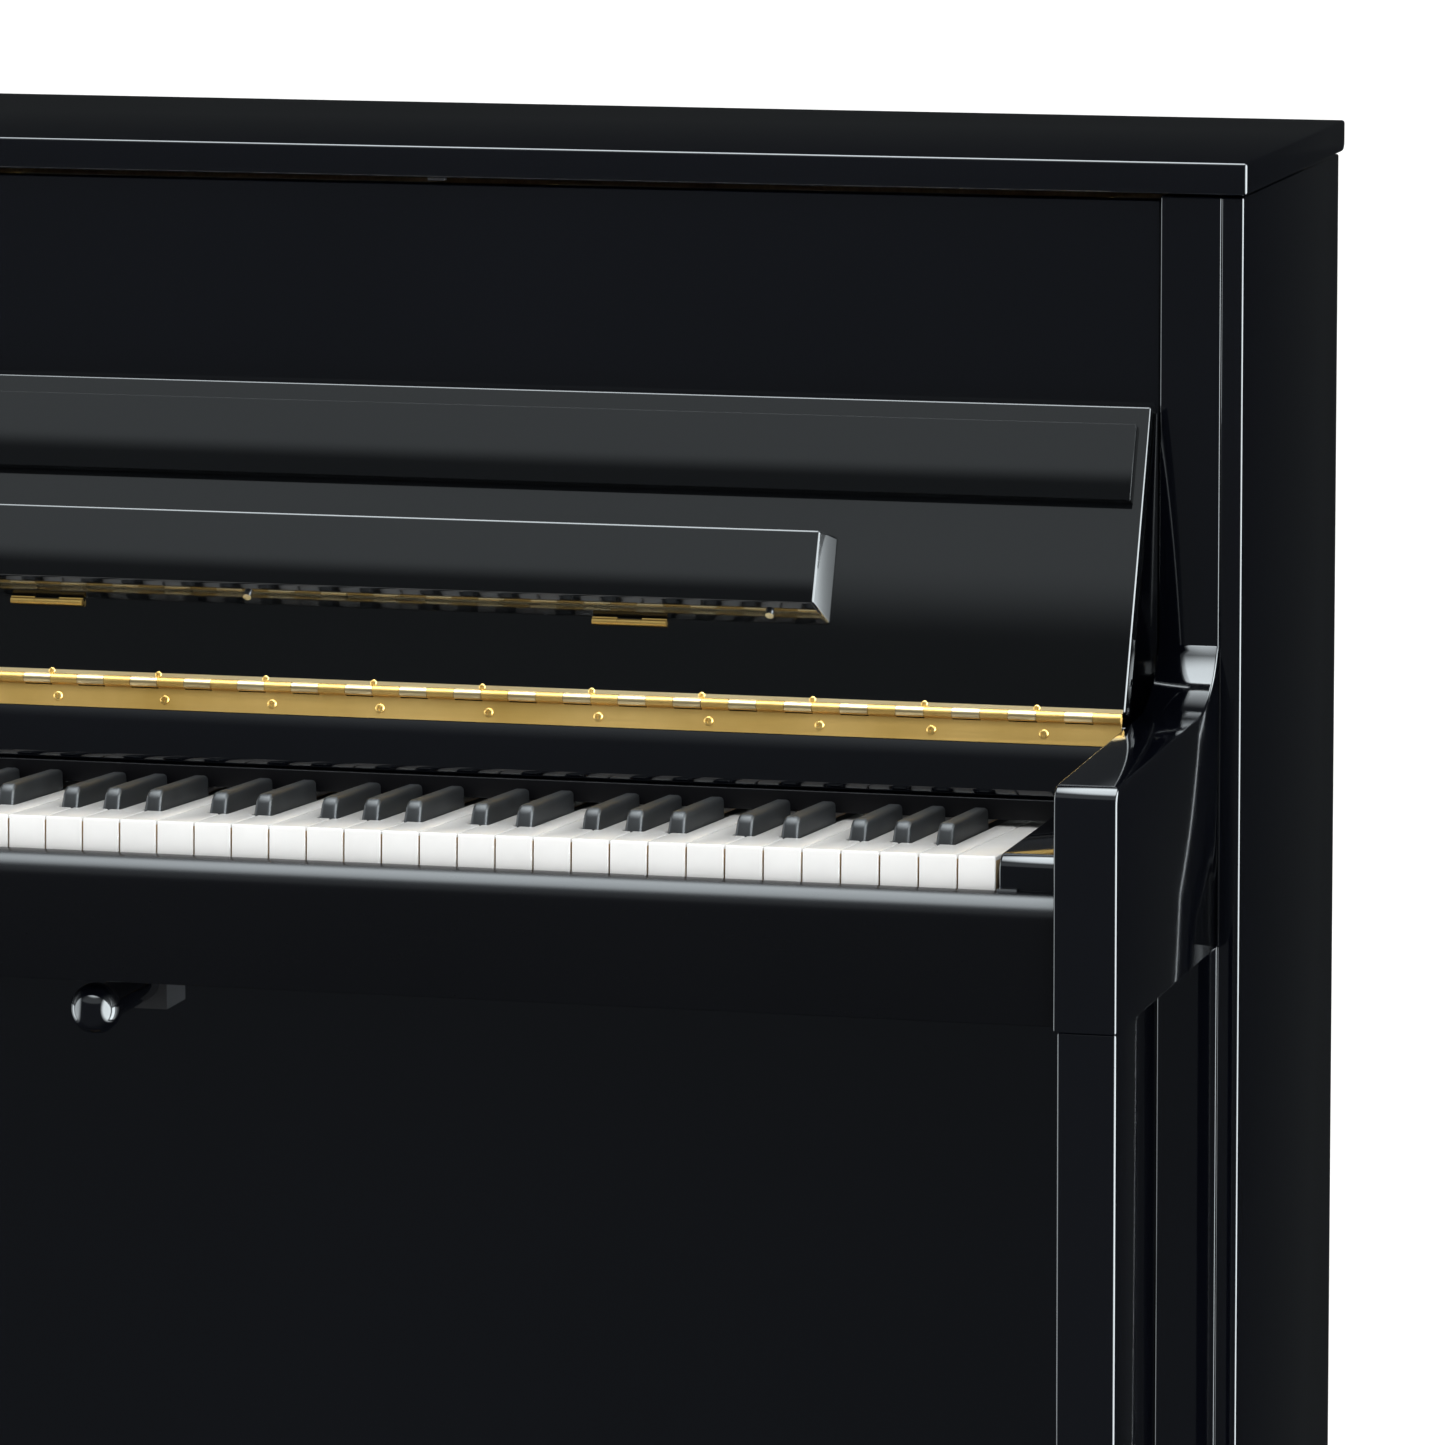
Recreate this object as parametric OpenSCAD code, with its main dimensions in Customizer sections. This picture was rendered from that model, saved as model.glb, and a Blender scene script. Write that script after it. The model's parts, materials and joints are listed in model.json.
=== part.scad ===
/* [Case] */
// Width over the lid
case_w = 1490; // [1460:1:1800]
// Height to the top of the lid
case_h = 1110; // [1080:1:1340]
// Depth from the arm fronts to the back of the lid
case_d = 590; // [560:1:710]
// Depth of the side boards
side_d = 301; // [290:1:330]
// Thickness of the outer side boards
skin_t = 13.5; // [10:0.5:20]
// Thickness of the arms, stiles and legs
arm_t = 37.5; // [30:0.5:50]
// Thickness of the lid
lid_t = 19.5; // [15:0.5:25]
// How far the lid stands out past the sides
lid_over = 3.5; // [1:0.5:10]
// How far the lid stands out past the side fronts
lid_nose = 8; // [4:1:20]
// Thickness of the upper and lower panels
panel_t = 18; // [12:1:24]

/* [Arms] */
// Height of the arm's underside above the floor
arm_z = 628; // [600:1:680]
// Height of the arm at its front
arm_h = 145; // [120:1:160]
// Rise of the arm's top from front to cove
arm_rise = 6; // [0:1:12]
// Radius of the rounded top edge at the arm's front
arm_r = 10; // [4:1:16]
// Radius of the cove where the arm meets the stile
cove_r = 67; // [50:1:80]
// Depth of the leg under the arm
leg_d = 64; // [40:1:90]
// Height of the toe block
toe_h = 62; // [40:1:80]
// Height of the floor glides
glide_h = 14; // [8:1:25]

/* [Keyboard] */
// Height of the white keys' front edge above the arms' underside
key_up = 96.5; // [84:0.5:104]
// Pitch of the white keys
key_pitch = 23.5; // [22.5:0.1:24]
// Gap between neighbouring keys
key_gap = 1.0; // [0.6:0.1:1.6]
// Distance of the keyboard's middle from the case's middle
key_shift = 38; // [0:1:45]
// Visible length of the white keys
key_show = 150; // [140:1:155]
// Length of the wide white key heads
head_l = 50; // [46:1:54]
// Height of a sharp above the white keys
sharp_h = 12; // [10:0.5:13]
// Width of a sharp at its base
sharp_w = 11; // [9.5:0.5:11.5]
// Slope of the keys at rest, front edge high, in degrees
key_slope = 3.3; // [0:0.1:4]
// Length of a key stick behind the balance pin
key_tail = 140; // [120:1:160]
// Distance from the key fronts to the balance pin
key_lever = 200; // [190:1:215]
// Travel of a key at its front
key_dip = 10; // [9:0.1:11]

/* [Key slip and blocks] */
// Thickness of the key slip
slip_t = 20; // [19:1:24]
// Distance of the slip's face behind the arm fronts
slip_back = 9; // [4:1:14]
// Height of the key slip
slip_h = 76; // [60:0.5:82]
// Radius along the slip's top front edge
slip_r = 17; // [5:1:18]
// Height of the key blocks above the white keys
block_rise = 1.5; // [0.5:0.5:12]
// Thickness of the key bed
bed_t = 34; // [28:1:40]

/* [Fallboard] */
// Distance of the fallboard hinge behind the key fronts
hinge_back = 164; // [155:1:175]
// Height of the fallboard hinge above the key fronts
hinge_up = 57.5; // [50:0.5:75]
// Length of the fallboard from hinge to free edge
fall_l = 195; // [170:1:200]
// Thickness of the fallboard
fall_t = 18; // [14:1:20]
// Angle by which the open fallboard leans back
fall_lean = 21.8; // [15:0.1:24]
// Angle by which the fixed rail under the fallboard leans back
rail_lean = 17; // [12:0.5:22]
// Height of the folding lip
lip_h = 47; // [40:1:50]
// Thickness of the folding lip
lip_t = 9; // [6:0.5:12]
// Distance from the lip's pivot to the fallboard's free edge
lip_edge = 14; // [12:1:20]
// Outer radius of the long hinge's barrel
barrel_r = 3.2; // [2.5:0.1:4]

/* [Music shelf] */
// Length of the music shelf
shelf_w = 1004; // [800:1:1100]
// Height of the folded music shelf
shelf_h = 58; // [45:1:70]
// Thickness of the music shelf
shelf_t = 18; // [12:1:20]
// Distance of the shelf's pivot from the fallboard hinge
shelf_s = 49; // [40:1:60]
// Depth of the slanted edge along the shelf's foot
shelf_bevel = 10; // [6:1:14]

/* [Pedals] */
// Spacing of the pedals
pedal_pitch = 74; // [60:1:85]
// Width of a pedal
pedal_w = 26; // [20:1:32]
// Height of the pedals' tops above the floor
pedal_z = 62; // [45:1:70]

/* [Knob] */
// Distance of the knob from the case's middle
knob_x = 95; // [60:1:200]
// Diameter of the knob
knob_d = 31; // [24:1:36]

/* [Back and strings] */
// Number of back posts
post_n = 5; // [3:1:6]
// Depth of the back posts
post_d = 68; // [50:1:90]
// Number of soundboard ribs
rib_n = 10; // [6:1:14]
// Thickness of the soundboard
board_t = 9; // [7:0.5:10]
// Spacing of the hammers and strings
note_pitch = 13.6; // [12:0.1:14]

/* [Hidden] */
EPS = 0.02;

// Main planes: x is across, y runs back from the player, z is up
front_y = -case_d / 2;
back_y = case_d / 2;
lid_half = case_w / 2;
skin_out = lid_half - lid_over;
skin_in = skin_out - skin_t;
arm_in = skin_in - arm_t;
back_gap = 2;
side_back = back_y - back_gap;
side_y = side_back - side_d;
lid_under = case_h - lid_t;
top_gap = 2;
side_top = lid_under - top_gap;

// Arm and leg
arm_top = arm_z + arm_h;
key_z = arm_z + key_up;
cove_a = 63;
cove_run = cove_r * sin(cove_a);
cove_y = side_y - cove_run;
cove_z = arm_top + arm_rise;
leg_set = 2;
stile_d = 40;

// Keyboard
key_y = front_y + slip_back + slip_t + 4;
balance_y = key_y + key_lever;
key_back = balance_y + key_tail;
stick_h = 22;
cap_t = 2.5;
octave = 7 * key_pitch;
key_x0 = key_shift - 26 * key_pitch;
slope = tan(key_slope);
balance_z = key_z - key_lever * slope - cap_t - stick_h;
slip_y = front_y + slip_back;
slip_z = arm_z + 1.5;
bed_z = slip_z + 1;
bed_top = bed_z + bed_t;
block_gap = 2;
sharp_gap = 1.2;
sharp_l = key_show - head_l - 4;

// Fallboard
hinge_y = key_y + hinge_back;
hinge_z = key_z + hinge_up;
face_t = 2.3;
arm_gap = 2;
fall_half = arm_in - arm_gap;
lip_s = fall_l - lip_edge;
lip_half = fall_half - 6;
lip_play = 0.8;
lip_pin_r = 1.5;
rail_gap = 4.2;
rail_bevel = 3;
shelf_pin_r = 1.2;
shelf_barrel_r = 2;
shelf_play = 0.6;
end_slant = 8;
shelf_tab = 1;
shelf_hinge_l = 47;
run_gap = 0.05;
shelf_hinge_x = [-1, 0, 1] * (shelf_w / 2 - 126);
shelf_stop_x = [-1, -0.285, 0.285, 1] * (shelf_w / 2 - 36);
shelf_top = shelf_s + shelf_h;
leaf_t = 1.2;
knuckle_n = 79;
nose_z = key_z + 8.5;
nose_y = key_y + key_show;

// Inside
frame_y = side_back - post_d;
board_y = frame_y - 14 - board_t;
plate_t = 12;
plate_y = board_y - 34;
wire_y = plate_y - 12;
bridge_d = board_y - plate_y - plate_t - 2;
plate_top = lid_under - 45;
plate_low = glide_h + 70;
note_n = 88;
note_half = (note_n - 1) / 2 * note_pitch;
note_shift = 12;
note_x0 = note_shift - note_half;
wire_side = 4.5;
action_half = note_half + 40;
rail_z = hinge_z + 18;
rail_y = wire_y - 58;
bed_back = side_y + stile_d + 70;
strike_z = plate_top - 150;
panel_y = side_y + 3;
lower_top = bed_z - 12;
rail_top = 98;
pedal_pivot_y = side_y + 62;
pedal_pivot_z = pedal_z - 4;
pedal_tip_y = side_y - 108;
knob_z = arm_z - 18;
knob_y = slip_y + 16;
clear = 0.3;

// Draws a side-view outline, given in y and z, from x0 to x1
module across(x0, x1) {
    translate([x0, 0, 0])
        rotate([90, 0, 90])
            linear_extrude(height = x1 - x0)
                children();
}

// Box from one corner to the other
module block(a, b) {
    translate(a)
        cube([b[0] - a[0], b[1] - a[1], b[2] - a[2]]);
}

// Draws the child and its mirror image across the case's middle
module both_sides() {
    children();
    mirror([1, 0, 0])
        children();
}

// Places things in the open fallboard's own axes: y forward off its face, z up along it
module on_fallboard() {
    translate([0, hinge_y, hinge_z])
        rotate([-fall_lean, 0, 0])
            children();
}

// Places things in the fixed rail's own axes, which turn about the same hinge line
module on_rail() {
    translate([0, hinge_y, hinge_z])
        rotate([-rail_lean, 0, 0])
            children();
}

// Place, in y and z, of a point in the fixed rail's own axes
function rail_point(y, s) = [hinge_y + y * cos(rail_lean) + s * sin(rail_lean),
    hinge_z - y * sin(rail_lean) + s * cos(rail_lean)];

// Depth of the fixed rail's face plane at a height z
function face_y(z) = hinge_y + face_t / cos(rail_lean) + (z - hinge_z) * tan(rail_lean);

// Points of an arc from angle a0 to angle a1
function arc(c, r, a0, a1, n) = [for (i = [0 : n]) c + r * [cos(a0 + (a1 - a0) * i / n),
    sin(a0 + (a1 - a0) * i / n)]];

// Height of the white keys' surface at a depth y
function key_top(y) = key_z - (y - key_y) * slope;

module side_panel() {
    block([skin_in, side_y, glide_h], [skin_out, side_back, side_top]);
}

module side_panel_left() {
    color([0.06, 0.07, 0.08])
        mirror([1, 0, 0])
            side_panel();
}

module side_panel_right() {
    color([0.06, 0.07, 0.08])
        side_panel();
}

// One arm: rounded front, top that rises a little, cove up to the stile
module arm() {
    nose = arc([front_y + arm_r, arm_top - arm_r], arm_r, 180, 90, 8);
    cove = arc([cove_y, cove_z + cove_r], cove_r, 270, 270 + cove_a, 10);
    across(arm_in, skin_in)
        polygon(concat([[side_y, arm_z], [front_y, arm_z]], nose, cove));
}

module arms() {
    color([0.08, 0.08, 0.09])
        both_sides()
            arm();
}

module front_stiles() {
    color([0.07, 0.07, 0.08])
        both_sides()
            block([arm_in, side_y, glide_h], [skin_in, side_y + stile_d, side_top]);
}

module front_legs() {
    color([0.07, 0.07, 0.08])
        both_sides()
            block([arm_in + leg_set, front_y + leg_set, glide_h + toe_h],
                [skin_in - leg_set / 4, front_y + leg_set + leg_d, arm_z]);
}

module toe_blocks() {
    color([0.07, 0.07, 0.08])
        both_sides()
            across(arm_in, skin_in)
                polygon([[side_y, glide_h], [front_y + 12, glide_h], [front_y, glide_h + 12],
                    [front_y, glide_h + toe_h], [side_y, glide_h + toe_h]]);
}

// Steel glides under the toe blocks and the back posts
module floor_glides() {
    color([0.5, 0.5, 0.52])
        both_sides() {
            translate([(arm_in + skin_in) / 2, front_y + 34, 0])
                cylinder(h = glide_h, r = 15, $fn = 48);
            translate([(arm_in + skin_in) / 2, side_back - 42, 0])
                cylinder(h = glide_h, r = 15, $fn = 48);
        }
}

// Posts and beams of the wooden back
module back_frame() {
    beam = 90;
    post_w = 62;
    inner = skin_in - 1;
    color([0.72, 0.56, 0.36]) {
        block([-inner, frame_y, side_top - beam], [inner, side_back - 3, side_top]);
        block([-inner, frame_y, glide_h], [inner, side_back - 3, glide_h + beam]);
        for (i = [0 : post_n - 1]) {
            x = -inner + i * (2 * inner - post_w) / (post_n - 1);
            block([x, frame_y, glide_h + beam], [x + post_w, side_back - 3, side_top - beam]);
        }
    }
}

module pin_block() {
    color([0.62, 0.42, 0.25])
        block([-skin_in + 42, plate_y + plate_t, plate_top - 150], [skin_in - 42, frame_y, plate_top]);
}

module soundboard() {
    color([0.83, 0.66, 0.40])
        block([-skin_in + 20, board_y, glide_h + 40],
            [skin_in - 20, board_y + board_t, plate_top - 152]);
}

// Ribs glued across the grain on the back of the soundboard, between the posts
module soundboard_ribs() {
    z0 = glide_h + 110;
    z1 = plate_top - 260;
    color([0.80, 0.62, 0.38])
        for (i = [0 : rib_n - 1])
            translate([0, board_y + board_t, z0 + i * (z1 - z0) / (rib_n - 1)])
                block([-skin_in + 40, 0, -10], [skin_in - 40, 13.5, 10]);
}

module bridges() {
    color([0.66, 0.45, 0.26]) {
        across_bridge(treble_x - 30, skin_in - 130, 330, 640, 26);
        across_bridge(-skin_in + 110, bass_x + 10, 200, 260, 30);
    }
}

// A bridge running up to the right between two points
module across_bridge(x0, x1, z0, z1, w) {
    translate([0, board_y, 0])
        rotate([90, 0, 0])
            linear_extrude(height = bridge_d)
                polygon([[x0, z0], [x1, z1], [x1, z1 + w], [x0, z0 + w]]);
}

// Edges of the plate's openings beside its two long struts
bass_x = -200;
treble_x = -90;
middle_x = 240;
high_x = 290;

// One opening of the plate, its lower edge rising from z0 to z1, its upper edge under the striking line
module plate_opening(x0, x1, z0, z1, under) {
    top = strike_z - under;
    polygon([[x0, plate_low + z0], [x1, plate_low + z1], [x1, top], [x0, top]]);
}

// Cast plate with a long strut between bass and treble, and openings for the bridges
module iron_plate() {
    x0 = -skin_in + 44;
    x1 = skin_in - 44;
    color([0.70, 0.55, 0.25])
        translate([0, plate_y + plate_t, 0])
            rotate([90, 0, 0])
                linear_extrude(height = plate_t)
                    difference() {
                        polygon([[x0, plate_low], [x1, plate_low], [x1, plate_top], [x0, plate_top]]);
                        plate_opening(x0 + 45, bass_x, 90, 90, 30);
                        plate_opening(treble_x - 60, middle_x, 90, 130, 20);
                        plate_opening(high_x, x1 - 40, 180, 330, 10);
                    }
}

// Length of the wire below the striking line for a note counted from the bass
function wire_low(i) = plate_low + 40 + 470 * pow(i / (note_n - 1), 1.6);

module tuning_pins() {
    color([0.55, 0.58, 0.65])
        for (i = [0 : note_n - 1])
            translate([note_x0 + i * note_pitch, plate_y, plate_top - 40 - 22 * (i % 3)])
                rotate([90, 0, 0])
                    cylinder(h = 24, r = 3.4, $fn = 8);
}

// One wire for each course
module strings() {
    color([0.75, 0.74, 0.70])
        for (i = [0 : note_n - 1]) {
            r = i < 28 ? 1.6 - 0.03 * i : 0.6;
            translate([note_x0 + i * note_pitch + wire_side, wire_y, wire_low(i)])
                cylinder(h = plate_top - 44 - 22 * (i % 3) - wire_low(i), r = r, $fn = 6);
        }
}

// Key bed, with the bored guide of the pull knob under it
module key_bed() {
    color([0.10, 0.10, 0.11]) {
        block([-arm_in, slip_y + slip_t, bed_z], [arm_in, bed_back, bed_top]);
        difference() {
            block([knob_x - 16, knob_y + 85, knob_z - 16], [knob_x + 16, knob_y + 120, bed_z]);
            translate([knob_x, knob_y, knob_z])
                rotate([-90, 0, 0])
                    cylinder(h = 130, r = stem_r + run_gap, $fn = 48);
        }
    }
}

// Front, balance and back rails under the keys
module key_frame() {
    x0 = key_x0;
    x1 = key_x0 + 52 * key_pitch;
    color([0.78, 0.62, 0.42]) {
        block([x0, key_y + 8, bed_top], [x1, key_y + 48, key_top(key_y) - cap_t - stick_h - key_dip - 2]);
        block([x0, balance_y - 22, bed_top], [x1, balance_y + 22, balance_z - 1.5]);
        block([x0, key_back - 34, bed_top], [x1, key_back, key_top(key_back) - cap_t - stick_h - clear - 1.5]);
    }
}

// Balance pins, one under each key's pivot, standing in the balance rail
module key_pins() {
    color([0.8, 0.8, 0.82])
        for (i = [0 : 51])
            translate([key_x0 + (i + 0.5) * key_pitch, balance_y, balance_z - 1.5])
                cylinder(h = 1.2, r = 4, $fn = 12);
}

module key_slip() {
    top = slip_z + slip_h;
    round_edge = arc([slip_y + slip_r, top - slip_r], slip_r, 180, 90, 8);
    color([0.08, 0.08, 0.09])
        across(-arm_in, arm_in)
            polygon(concat([[slip_y + slip_t, slip_z], [slip_y, slip_z]], round_edge,
                [[slip_y + slip_t, top]]));
}

// One key block between the last key and the arm
module end_block(x0, x1) {
    r = 10;
    y0 = key_y - 3;
    top = key_z + block_rise;
    back = nose_y + 3;
    round_edge = arc([y0 + r, top - r], r, 180, 90, 6);
    across(x0, x1)
        polygon(concat([[back, bed_top], [y0, bed_top]], round_edge, [[back, top]]));
}

module key_blocks() {
    color([0.08, 0.08, 0.09]) {
        end_block(-arm_in, key_x0 - block_gap);
        end_block(key_x0 + 52 * key_pitch + block_gap, arm_in);
    }
}

// Small plates that hold the key blocks down at their front corners
module key_block_plates() {
    x = key_x0 + 52 * key_pitch + block_gap;
    z = slip_z + slip_h;
    color([0.75, 0.76, 0.78]) {
        block([x, key_y - 8, z], [x + 12, key_y - 3, z + 1.5]);
        block([key_x0 - block_gap - 12, key_y - 8, z], [key_x0 - block_gap, key_y - 3, z + 1.5]);
    }
}

// Strip behind the keys, under the fallboard rail
module name_strip() {
    color([0.07, 0.07, 0.08])
        block([-arm_in, nose_y + 3, key_top(nose_y) + 4], [arm_in, nose_y + 13, nose_z - clear]);
}

// Fixed lower board between the name strip and the long hinge
module fallboard_rail() {
    r = 5;
    c = [face_y(nose_z + r) + r / cos(rail_lean), nose_z + r];
    nose = arc(c, r, 180 - rail_lean, 270, 6);
    back = rail_point(face_t + fall_t, -rail_gap - rail_bevel);
    color([0.06, 0.06, 0.07])
        across(-arm_in, arm_in)
            polygon(concat([rail_point(face_t, -rail_gap)], nose, [[back[0], nose_z], back]));
}

module upper_panel() {
    color([0.07, 0.07, 0.08])
        block([-arm_in + 1, panel_y, key_z + 20], [arm_in - 1, panel_y + panel_t, side_top - 3]);
}

module lower_panel() {
    color([0.04, 0.06, 0.07])
        block([-arm_in + 1, panel_y, rail_top + 2], [arm_in - 1, panel_y + panel_t, lower_top]);
}

// Rail under the lower panel with a slot for each pedal
module bottom_rail() {
    color([0.05, 0.06, 0.07])
        difference() {
            block([-arm_in, panel_y, glide_h + 6], [arm_in, panel_y + panel_t, rail_top]);
            for (i = [-1 : 1])
                block([i * pedal_pitch - pedal_w / 2 - 3, panel_y - 1, pedal_z - 26],
                    [i * pedal_pitch + pedal_w / 2 + 3, panel_y + panel_t + 1, pedal_z + 12]);
        }
}

module bottom_board() {
    color([0.70, 0.55, 0.36])
        block([-arm_in, panel_y + panel_t, glide_h + 6], [arm_in, plate_y - 4, glide_h + 24]);
}

// Lid with its lower back edge rounded, so that it can turn about the hinges
module lid() {
    low_r = 6;
    c = [back_y - low_r, lid_under + low_r];
    color([0.08, 0.08, 0.09])
        across(-lid_half, lid_half)
            polygon(concat([[side_y - lid_nose, case_h], [side_y - lid_nose, lid_under]],
                arc(c, low_r, 270, 360, 6), [[back_y, case_h]]));
}

lid_barrel_r = 1.7;
lid_pin_r = 0.8;
lid_axis_y = back_y - 2.4;
lid_axis_z = lid_under - top_gap / 2;
lid_hinge_l = 80;
lid_hinge_x = [-1, -1 / 3, 1 / 3, 1] * (arm_in - 130.5);
lid_leaf_t = 0.8;
lid_leaf_d = 24;
knuckle_gap = 0.3;

// Rod along x with its middle at x = 0
module rod(l, r, n) {
    rotate([0, 90, 0])
        cylinder(h = l, r = r, center = true, $fn = n);
}

// Fixed leaves of the lid hinges, each with a middle knuckle and its pin
module lid_hinges() {
    third = lid_hinge_l / 3;
    y0 = lid_axis_y - lid_leaf_d;
    y1 = lid_axis_y - lid_barrel_r - 0.4;
    color([0.78, 0.62, 0.30])
        for (x = lid_hinge_x)
            translate([x, 0, 0]) {
                translate([0, lid_axis_y, lid_axis_z])
                    rod(third - knuckle_gap, lid_barrel_r, 32);
                translate([0, lid_axis_y, lid_axis_z])
                    rod(lid_hinge_l, lid_pin_r, 24);
                block([-lid_hinge_l / 2, y0, side_top], [lid_hinge_l / 2, y1, side_top + lid_leaf_t]);
                block([-third / 2 + knuckle_gap, y1 - 1, side_top],
                    [third / 2 - knuckle_gap, lid_axis_y, side_top + lid_leaf_t]);
            }
}

// Leaves under the lid, each with the two outer knuckles
module lid_hinge_leaves() {
    third = lid_hinge_l / 3;
    y0 = lid_axis_y - lid_leaf_d;
    y1 = lid_axis_y - lid_barrel_r - 0.4;
    z0 = lid_under - lid_leaf_t;
    color([0.78, 0.62, 0.30])
        for (x = lid_hinge_x)
            translate([x, 0, 0])
                difference() {
                    union() {
                        for (side = [-1, 1])
                            translate([side * third, lid_axis_y, lid_axis_z])
                                rod(third, lid_barrel_r, 32);
                        block([-lid_hinge_l / 2, y0, z0], [lid_hinge_l / 2, y1, lid_under]);
                        block([-lid_hinge_l / 2, y1 - 1, z0], [-third / 2, lid_axis_y, lid_under]);
                        block([third / 2, y1 - 1, z0], [lid_hinge_l / 2, lid_axis_y, lid_under]);
                    }
                    translate([0, lid_axis_y, lid_axis_z])
                        rod(lid_hinge_l + 2, lid_pin_r + run_gap, 24);
                }
}

module fallboard() {
    color([0.16, 0.17, 0.18])
        on_fallboard()
            block([-fall_half, face_t, rail_gap], [fall_half, face_t + fall_t, fall_l]);
}

long_pin_r = 1.4;
long_half = fall_half - 1;
knuckle_l = 2 * long_half / knuckle_n;
leaf_low = 13;
leaf_up = 2.5;

// Knuckles of the long hinge, every second one, beginning at the given number
module long_knuckles(first) {
    for (i = [first : 2 : knuckle_n - 1])
        translate([-long_half + (i + 0.5) * knuckle_l, 0, 0])
            rod(knuckle_l - knuckle_gap, barrel_r, 32);
}

// Tabs that join a leaf of the long hinge to its knuckles, between two heights
module long_tabs(first, s0, s1) {
    for (i = [first : 2 : knuckle_n - 1]) {
        x = -long_half + i * knuckle_l + knuckle_gap / 2;
        block([x, face_t - leaf_t, s0], [x + knuckle_l - knuckle_gap, face_t - EPS, s1]);
    }
}

// Leaf on the fixed rail, with its knuckles and the pin
module long_hinge_lower() {
    gap = barrel_r + 0.5;
    color([0.66, 0.51, 0.27])
        on_rail() {
            block([-long_half, face_t - leaf_t, -gap - leaf_low], [long_half, face_t, -gap]);
            long_tabs(0, -gap - 1, 0);
            long_knuckles(0);
            rod(2 * long_half, long_pin_r, 24);
        }
}

// Leaf on the fallboard, with its bored knuckles
module long_hinge_upper() {
    gap = barrel_r + 0.5;
    color([0.66, 0.51, 0.27])
        on_fallboard()
            difference() {
                union() {
                    block([-long_half, face_t - leaf_t, gap], [long_half, face_t, gap + leaf_up]);
                    long_tabs(1, 0, gap + 1);
                    long_knuckles(1);
                }
                rod(2 * long_half + 2, long_pin_r + run_gap, 24);
            }
}

lip_axis_y = face_t - 3.3;
lip_axis_s = lip_s - 2;
lip_x = [-1, -0.5, 0, 0.5, 1] * (lip_half - 62.5);
lip_knuckle_l = 20;
lip_barrel_r = 2.4;

// Folding strip, cut away at its back for the hinge knuckles, with bores for their pins
module fallboard_lip() {
    color([0.10, 0.10, 0.11])
        on_fallboard()
            difference() {
                block([-lip_half, face_t - lip_play - lip_t, lip_s - lip_h],
                    [lip_half, face_t - lip_play, lip_s]);
                for (x = lip_x) {
                    block([x - lip_knuckle_l / 2 - 0.5, lip_axis_y - lip_barrel_r - 0.4, lip_axis_s - 3.2],
                        [x + lip_knuckle_l / 2 + 0.5, face_t, lip_s + 1]);
                    translate([x, lip_axis_y, lip_axis_s])
                        rod(lip_knuckle_l + 21, lip_pin_r + run_gap, 24);
                }
            }
}

// Knuckles on the fallboard's face with the pins that carry the lip
module lip_hinges() {
    color([0.66, 0.51, 0.27])
        on_fallboard()
            for (x = lip_x)
                translate([x, lip_axis_y, lip_axis_s]) {
                    rod(lip_knuckle_l, lip_barrel_r, 32);
                    rod(lip_knuckle_l + 20, lip_pin_r, 24);
                    block([-lip_knuckle_l / 2, 0, -1.2], [lip_knuckle_l / 2, face_t - lip_axis_y, 1.2]);
                }
}

shelf_axis_y = face_t - shelf_barrel_r - 0.2;
shelf_foot = shelf_s + shelf_barrel_r + 0.6;

// Music shelf folded flat against the fallboard, its foot and its ends slanted
module music_shelf() {
    y1 = face_t - shelf_play;
    y0 = y1 - shelf_t;
    color([0.14, 0.15, 0.16])
        on_fallboard()
            intersection() {
                across(-shelf_w / 2, shelf_w / 2)
                    polygon([[y1, shelf_foot], [y1, shelf_top], [y0, shelf_top],
                        [y0, shelf_foot + shelf_bevel]]);
                linear_extrude(height = shelf_top)
                    polygon([[-shelf_w / 2, y1], [shelf_w / 2, y1], [shelf_w / 2 - end_slant, y0],
                        [end_slant - shelf_w / 2, y0]]);
            }
}

// Middle knuckles of the shelf hinges, standing on the fallboard, each with its pin
module shelf_hinges() {
    third = shelf_hinge_l / 3;
    color([0.66, 0.51, 0.27])
        on_fallboard()
            for (x = shelf_hinge_x)
                translate([x, shelf_axis_y, shelf_s]) {
                    rod(third - knuckle_gap, shelf_barrel_r, 32);
                    rod(shelf_hinge_l, shelf_pin_r, 24);
                    block([-third / 2 + knuckle_gap, 0, -shelf_tab], [third / 2 - knuckle_gap,
                        shelf_barrel_r + 0.2, shelf_tab]);
                }
}

// Leaves under the shelf's back, each with the two outer knuckles
module shelf_hinge_leaves() {
    third = shelf_hinge_l / 3;
    color([0.66, 0.51, 0.27])
        on_fallboard()
            for (x = shelf_hinge_x)
                translate([x, shelf_axis_y, shelf_s])
                    difference() {
                        union()
                            for (side = [-1, 1]) {
                                translate([side * third, 0, 0])
                                    rod(third, shelf_barrel_r, 32);
                                translate([side * third, 0, 0])
                                    block([-third / 2, -0.8, 0], [third / 2, 0.4, shelf_foot - shelf_s]);
                            }
                        rod(shelf_hinge_l + 2, shelf_pin_r + run_gap, 24);
                    }
}

// Small metal stops along the shelf's slanted foot
module shelf_bumpers() {
    slant = atan(shelf_bevel / shelf_t);
    color([0.8, 0.8, 0.82])
        on_fallboard()
            for (x = shelf_stop_x)
                translate([x, face_t - shelf_play - shelf_t / 2, shelf_foot + shelf_bevel / 2])
                    rotate([180 - slant, 0, 0])
                        cylinder(h = 3, r = 2.6, $fn = 24);
}

stem_r = 11;

// Ball on a round stem that slides in a guide under the key bed
module pull_knob() {
    color([0.05, 0.05, 0.06])
        translate([knob_x, knob_y, knob_z]) {
            sphere(r = knob_d / 2, $fn = 64);
            rotate([-90, 0, 0])
                cylinder(h = 145, r = stem_r, $fn = 48);
        }
}

pedal_pin_r = 4;
pedal_tail = 50;

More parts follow.
